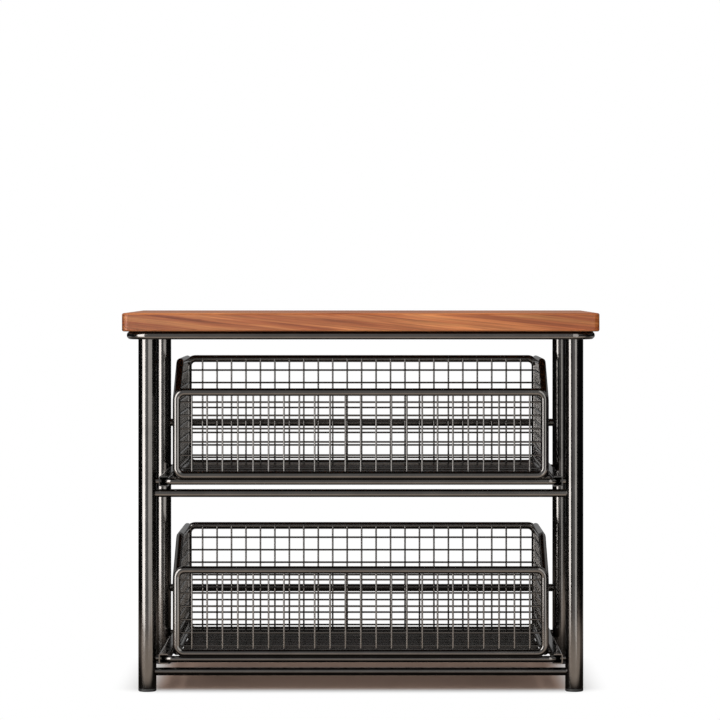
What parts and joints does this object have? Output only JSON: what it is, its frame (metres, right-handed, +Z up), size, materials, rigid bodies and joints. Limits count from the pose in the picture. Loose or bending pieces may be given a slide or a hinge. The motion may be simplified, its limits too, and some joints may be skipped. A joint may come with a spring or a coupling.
{
  "type": "countertop organizer with pull-out baskets",
  "caption": "Freestanding countertop rack with a wooden top on round tube legs, and wire mesh baskets on two tiers that slide out to the front on channel rails.",
  "frame": {"origin": "on the ground, in the middle of the footprint", "axes": "+X to the right along the width, +Y to the back, +Z up; the baskets pull out along -Y"},
  "size_m": [0.498, 0.3, 0.3965],
  "materials": {
    "wood_top": "satin lacquer",
    "gunmetal_steel": "gloss black nickel",
    "mesh_wire": "gloss black nickel",
    "foot_plastic": "matte",
    "fastener_steel": "zinc plated"
  },
  "bodies": {
    "frame": {"board_screws": "fastener_steel", "foot_front_left": "foot_plastic", "foot_front_right": "foot_plastic", "foot_rear_left": "foot_plastic", "foot_rear_right": "foot_plastic", "front_crossbar_lower": "gunmetal_steel", "front_crossbar_upper": "gunmetal_steel", "leg_bolts": "fastener_steel", "leg_front_left": "gunmetal_steel", "leg_front_right": "gunmetal_steel", "leg_inserts": "fastener_steel", "leg_rear_left": "gunmetal_steel", "leg_rear_right": "gunmetal_steel", "rail_lower_left": "gunmetal_steel", "rail_lower_right": "gunmetal_steel", "rail_rivets": "gunmetal_steel", "rail_upper_left": "gunmetal_steel", "rail_upper_right": "gunmetal_steel", "rear_crossbar_lower": "gunmetal_steel", "rear_crossbar_upper": "gunmetal_steel", "top_board": "wood_top", "top_frame": "gunmetal_steel"},
    "upper_basket": {"upper_basket_bearers": "gunmetal_steel", "upper_basket_floor_mesh": "mesh_wire", "upper_basket_front_frame": "gunmetal_steel", "upper_basket_front_mesh": "mesh_wire", "upper_basket_left_frame": "gunmetal_steel", "upper_basket_left_mesh": "mesh_wire", "upper_basket_rear_frame": "gunmetal_steel", "upper_basket_rear_mesh": "mesh_wire", "upper_basket_right_frame": "gunmetal_steel", "upper_basket_right_mesh": "mesh_wire", "upper_basket_runner": "gunmetal_steel"},
    "lower_basket": {"lower_basket_bearers": "gunmetal_steel", "lower_basket_floor_mesh": "mesh_wire", "lower_basket_front_frame": "gunmetal_steel", "lower_basket_front_mesh": "mesh_wire", "lower_basket_left_frame": "gunmetal_steel", "lower_basket_left_mesh": "mesh_wire", "lower_basket_rear_frame": "gunmetal_steel", "lower_basket_rear_mesh": "mesh_wire", "lower_basket_right_frame": "gunmetal_steel", "lower_basket_right_mesh": "mesh_wire", "lower_basket_runner": "gunmetal_steel"}
  },
  "joints": [
    {"name": "upper_basket_slide", "type": "slide", "parent": "frame", "child": "upper_basket", "axis": [0, -1, 0], "range_m": [0, 0.17]},
    {"name": "lower_basket_slide", "type": "slide", "parent": "frame", "child": "lower_basket", "axis": [0, -1, 0], "range_m": [0, 0.17]}
  ]
}
